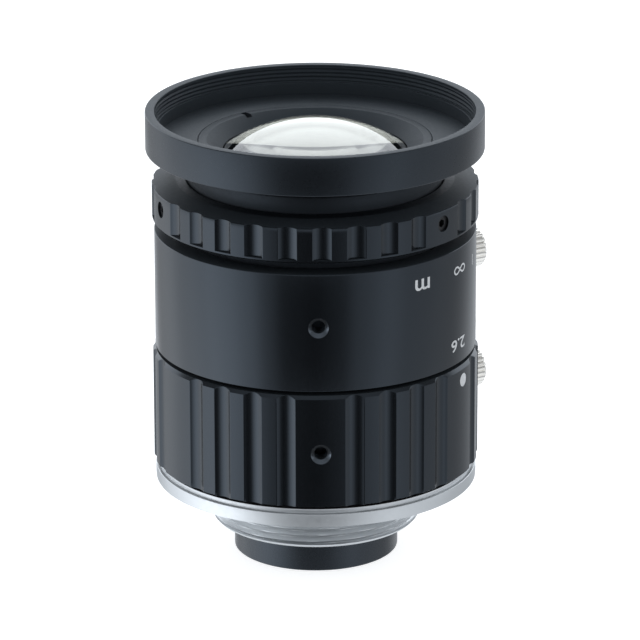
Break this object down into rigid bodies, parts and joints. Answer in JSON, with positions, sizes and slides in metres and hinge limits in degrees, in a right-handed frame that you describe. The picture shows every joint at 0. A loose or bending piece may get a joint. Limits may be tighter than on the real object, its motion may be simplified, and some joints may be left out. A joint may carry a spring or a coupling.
{
  "type": "c-mount machine vision lens",
  "caption": "Manual machine vision lens with a C-mount thread, fluted focus and aperture rings, knurled lock screws, a hood with a filter thread and a working iris.",
  "frame": {"origin": "on the optical axis, in the flange face that seats on the camera", "axes": "+Z along the optical axis out of the front glass, -Y out of the engraved side, +X to its right"},
  "size_m": [0.0418, 0.041, 0.0558],
  "materials": {
    "black_anodised": "satin black anodised",
    "matte_black": "matt black anodised",
    "silver_satin": "satin",
    "nickel": "bright nickel plated",
    "blade_steel": "blackened",
    "coated_glass": "coated optical glass"
  },
  "bodies": {
    "barrel": {"main_barrel": "black_anodised", "mount_flange": "silver_satin", "rear_barrel": "black_anodised", "rear_retaining_ring": "matte_black", "rear_lens": "coated_glass", "doublet_rear_lens": "coated_glass", "doublet_front_lens": "coated_glass", "doublet_retaining_ring": "matte_black", "iris_base_plate": "matte_black", "iris_retaining_ring": "matte_black", "guide_key": "nickel"},
    "aperture": {"aperture_ring": "black_anodised", "aperture_drive_pin": "nickel", "iris_drive_ring": "blade_steel"},
    "aperture_lock": {"aperture_lock_screw": "nickel"},
    "blade_1": {"iris_blade_1": "blade_steel"},
    "blade_2": {"iris_blade_2": "blade_steel"},
    "blade_3": {"iris_blade_3": "blade_steel"},
    "blade_4": {"iris_blade_4": "blade_steel"},
    "blade_5": {"iris_blade_5": "blade_steel"},
    "blade_6": {"iris_blade_6": "blade_steel"},
    "front_group": {"lens_carrier": "matte_black", "third_lens": "coated_glass", "third_lens_ring": "matte_black", "second_lens": "coated_glass", "second_lens_spacer": "matte_black", "front_lens": "coated_glass", "front_retaining_ring": "matte_black", "hood": "matte_black"},
    "focus": {"focus_ring": "black_anodised", "focus_sleeve": "matte_black", "focus_set_screws": "blade_steel"},
    "focus_lock": {"focus_lock_screw": "nickel"}
  },
  "joints": [
    {"name": "focus_travel", "type": "slide", "parent": "barrel", "child": "front_group", "axis": [0, 0, 1], "range_m": [-0.00125, 0.00017]},
    {"name": "focus_turn", "type": "hinge", "parent": "front_group", "child": "focus", "pos_m": [0, 0, 0.036], "axis": [0, 0, 1], "range_deg": [-108, 15]},
    {"name": "focus_lock_turn", "type": "hinge", "parent": "barrel", "child": "focus_lock", "pos_m": [0.01675, 0.01009, 0.02565], "axis": [0.8565, 0.5161, 0], "range_deg": [-20, 360]},
    {"name": "aperture_turn", "type": "hinge", "parent": "barrel", "child": "aperture", "pos_m": [0, 0, 0.01], "axis": [0, 0, 1], "range_deg": [0, 48]},
    {"name": "aperture_lock_turn", "type": "hinge", "parent": "aperture", "child": "aperture_lock", "pos_m": [0.01687, 0.01046, 0.00987], "axis": [0.8499, 0.527, 0], "range_deg": [-20, 360]},
    {"name": "blade_1_swing", "type": "hinge", "parent": "barrel", "child": "blade_1", "pos_m": [0, -0.0129, 0.012], "axis": [0, 0, 1], "range_deg": [0, 28.01]},
    {"name": "blade_2_swing", "type": "hinge", "parent": "barrel", "child": "blade_2", "pos_m": [0.01117, -0.00645, 0.012], "axis": [0, 0, 1], "range_deg": [0, 28.01]},
    {"name": "blade_3_swing", "type": "hinge", "parent": "barrel", "child": "blade_3", "pos_m": [0.01117, 0.00645, 0.012], "axis": [0, 0, 1], "range_deg": [0, 28.01]},
    {"name": "blade_4_swing", "type": "hinge", "parent": "barrel", "child": "blade_4", "pos_m": [0, 0.0129, 0.012], "axis": [0, 0, 1], "range_deg": [0, 28.01]},
    {"name": "blade_5_swing", "type": "hinge", "parent": "barrel", "child": "blade_5", "pos_m": [-0.01117, 0.00645, 0.012], "axis": [0, 0, 1], "range_deg": [0, 28.01]},
    {"name": "blade_6_swing", "type": "hinge", "parent": "barrel", "child": "blade_6", "pos_m": [-0.01117, -0.00645, 0.012], "axis": [0, 0, 1], "range_deg": [0, 28.01]}
  ],
  "couplings": [
    {"joint": "focus_turn", "follows": "focus_travel", "rad_per_m": 1506.8},
    {"joint": "blade_1_swing", "follows": "aperture_turn", "ratio": 0.58333},
    {"joint": "blade_2_swing", "follows": "aperture_turn", "ratio": 0.58333},
    {"joint": "blade_3_swing", "follows": "aperture_turn", "ratio": 0.58333},
    {"joint": "blade_4_swing", "follows": "aperture_turn", "ratio": 0.58333},
    {"joint": "blade_5_swing", "follows": "aperture_turn", "ratio": 0.58333},
    {"joint": "blade_6_swing", "follows": "aperture_turn", "ratio": 0.58333}
  ]
}
